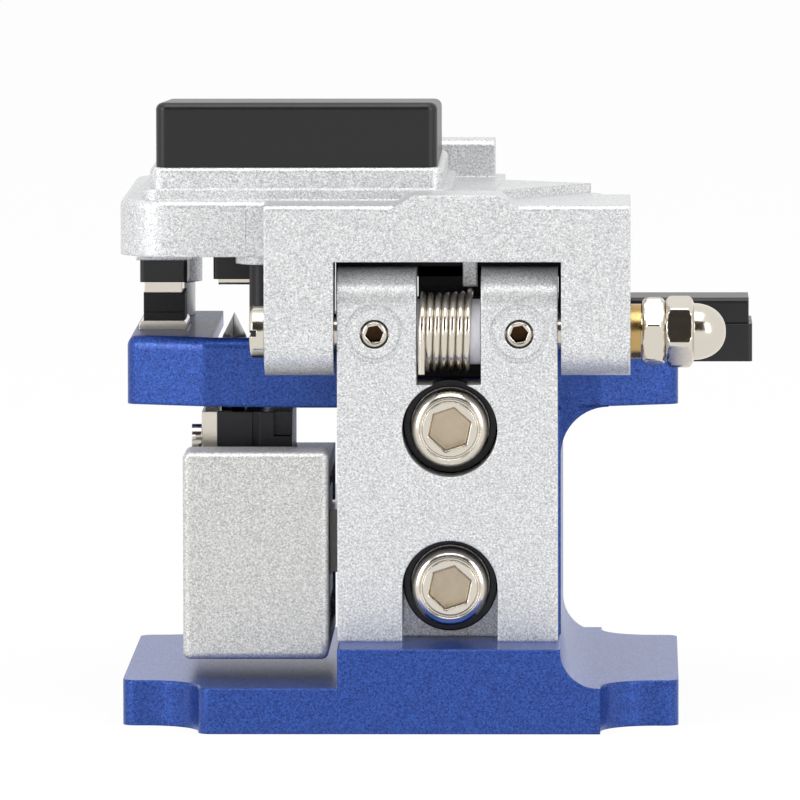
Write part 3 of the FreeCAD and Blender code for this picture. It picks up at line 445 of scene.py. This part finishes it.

# Painted shade: a strip of black rubber under the arm just ahead of the hinge, where the arm's underside lies in
# shade. A tongue fills the spring slot, and a tab at each end closes the gap beside an ear.
strip_front, strip_rear = 12.5, 13.3
underarm_shade_strip = slabs("underarm_shade_strip", [((-17.66, strip_front, 48.8), (7.26, strip_rear, 51.15)),
                                  ((-8.85, strip_front, 46.4), (-1.86, strip_rear, 50)),
                                  ((-17.66, strip_front, 44.4), (-17.34, strip_rear, 50)),
                                  ((6.94, strip_front, 44.4), (7.26, strip_rear, 50))], 0.05)
underarm_shade_strip.data.materials.append(black_rubber)
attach(underarm_shade_strip, "lever")

# Thumb pad: a block moulded in black ABS with a spark-eroded finish, on the arm's raised plinth.
# Blackened screws hold it from below.
dress(black_abs, "lever_pad")
dress(black_steel, "pad_screws")

# Anvil and upper fibre clamps: black ABS blocks under the arm, the anvil with a nickel plated tip.
# Each clamp has a nickel plated plunger on a hidden spring, with a rubber face that presses the fibre.
dress(black_abs, "anvil_block", "upper_clamp_blocks")
ease("upper_clamp_blocks", 0.45)
dress(nickel, "anvil_tip", "outer_clamp_plunger", "inner_clamp_plunger")
ease("outer_clamp_plunger", 0.6)
dress(black_rubber, "outer_clamp_rubber", "inner_clamp_rubber")

# Slider: a die cast housing on a ground steel carriage that runs on the rail, held by two blackened screws.
# The housing is sprayed silver like the bracket. Warm silver lacquer, sprayed: the same flakes, a shade darker and
# warmer.
slider_lacquer = flake_paint("warm silver lacquer", "#9c9d9f", "#f2f1ed", 0.11, 0.6, 0.44, 0.08, 0.35,
                             "#ecece8", 9)
dress(slider_lacquer, "slider_housing")
dress(ground_steel, "slider_carriage")
dress(black_steel, "slider_screws")

# Blade group: a blackened steel holder in the slider carries the round ground blade on its screw.
# The plate at its side and the screw that sets the blade's height are nickel plated.
dress(black_steel, "blade_holder", "blade_holder_screws", "blade_screw")
dress(nickel, "blade_plate", "height_screw")
dress(ground_steel, "cutting_blade")


# Bench: a plain white sheet under and behind the cleaver.
# It is seen and mirrored as nearly pure white, and keeps the cleaver's soft shadow.
def seen_or_mirrored(tree):
    """1 for what the camera, a mirror or clear glass sees directly, and 0 for the light on the object."""
    rays = add(tree, "LightPath")
    mirrored = add(tree, "Math", {"operation": "MAXIMUM"}, Value=rays.outputs["Is Glossy Ray"])
    tree.links.new(rays.outputs["Is Transmission Ray"], mirrored.inputs[1])
    seen = add(tree, "Math", {"operation": "MAXIMUM"}, Value=rays.outputs["Is Camera Ray"])
    tree.links.new(mirrored.outputs[0], seen.inputs[1])
    return seen.outputs[0]


def flat_sheet(name, corners, material):
    """A single four-sided sheet between corners in metres."""
    mesh = bpy.data.meshes.new(name)
    mesh.from_pydata(corners, [], [(0, 1, 2, 3)])
    mesh.materials.append(material)
    piece = bpy.data.objects.new(name, mesh)
    bpy.context.collection.objects.link(piece)
    return piece


white_share = 0.94
# White sheet, matt paper: no gloss at all.
bench_white, tree, output = new_material("white sheet")
share = add(tree, "Math", {"operation": "MULTIPLY"}, Value=seen_or_mirrored(tree))
share.inputs[1].default_value = white_share
paper = add(tree, "BsdfDiffuse", Color=linear("#f6f6f6"))
glow = add(tree, "Emission", Color=(1, 1, 1, 1), Strength=1.0)
blend = add(tree, "MixShader", Fac=share.outputs[0])
tree.links.new(paper.outputs[0], blend.inputs[1])
tree.links.new(glow.outputs[0], blend.inputs[2])
tree.links.new(blend.outputs[0], output.inputs["Surface"])
bench = flat_sheet("bench", [(-2, -2, 0), (2, -2, 0), (2, 2, 0), (-2, 2, 0)], bench_white)

# Studio: white walls all round that light the object softly, and three soft boxes.
# The walls are seen and mirrored at full white, and light the object a little less.
wall_light = 0.7
world = bpy.data.worlds.new("studio")
bpy.context.scene.world = world
world.use_nodes = True
tree = world.node_tree
tree.nodes.clear()
level = add(tree, "MapRange", Value=seen_or_mirrored(tree), To_Min=wall_light, To_Max=1.0)
air = add(tree, "Background", Color=(1, 1, 1, 1), Strength=level.outputs["Result"])
output = tree.nodes.new("ShaderNodeOutputWorld")
tree.links.new(air.outputs[0], output.inputs["Surface"])


def soft_lamp(name, place, width, height, watts):
    """A rectangular soft box aimed at the middle of the cleaver."""
    data = bpy.data.lights.new(name, "AREA")
    data.shape = "RECTANGLE"
    data.size = width
    data.size_y = height
    data.energy = watts
    lamp = bpy.data.objects.new(name, data)
    bpy.context.collection.objects.link(lamp)
    lamp.location = place
    lamp.rotation_euler = (Vector((0, 0, 0.03)) - Vector(place)).to_track_quat("-Z", "Y").to_euler()


soft_lamp("overhead box", (0.0, 0.35, 1.0), 0.9, 0.7, 4.6)
soft_lamp("left strip", (0.8, 0.7, 0.35), 0.25, 0.7, 3.0)
soft_lamp("right strip", (-0.8, 0.8, 0.4), 0.25, 0.7, 3.0)

# Dark card above the camera: only polished metal sees it, as it sees the unlit end of a studio.
# Without it, bright nickel would melt into the white room.
# Black cloth: an even dark brown-grey in every mirror.
card_cloth, tree, output = new_material("black cloth")
cloth_shade = add(tree, "Emission", Color=linear("#4a443e"), Strength=0.6)
tree.links.new(cloth_shade.outputs[0], output.inputs["Surface"])
card = flat_sheet("dark_card", [(-1.1, 1.6, 0.28), (1.1, 1.6, 0.28), (1.1, 1.3, 1.5), (-1.1, 1.3, 1.5)],
                  card_cloth)
card.visible_camera = card.visible_diffuse = card.visible_shadow = card.visible_transmission = False

# Camera: a long lens on the hinge side, a little above the cleaver and 1.2 m away.
# The sensor is 36 mm wide.
eye = Vector((-0.02525, 1.20665, 0.13859))
across = Vector((-0.99977, -0.02116, -0.00184))
upward = Vector((0.0, -0.08640, 0.99626))
back = across.cross(upward)
camera_data = bpy.data.cameras.new("camera")
camera_data.sensor_width = 36
camera_data.lens = 487.1
camera = bpy.data.objects.new("camera", camera_data)
bpy.context.collection.objects.link(camera)
camera.matrix_world = Matrix((
    (across.x, upward.x, back.x, eye.x),
    (across.y, upward.y, back.y, eye.y),
    (across.z, upward.z, back.z, eye.z),
    (0, 0, 0, 1)))
bpy.context.scene.camera = camera
bpy.context.scene.view_settings.view_transform = "Standard"
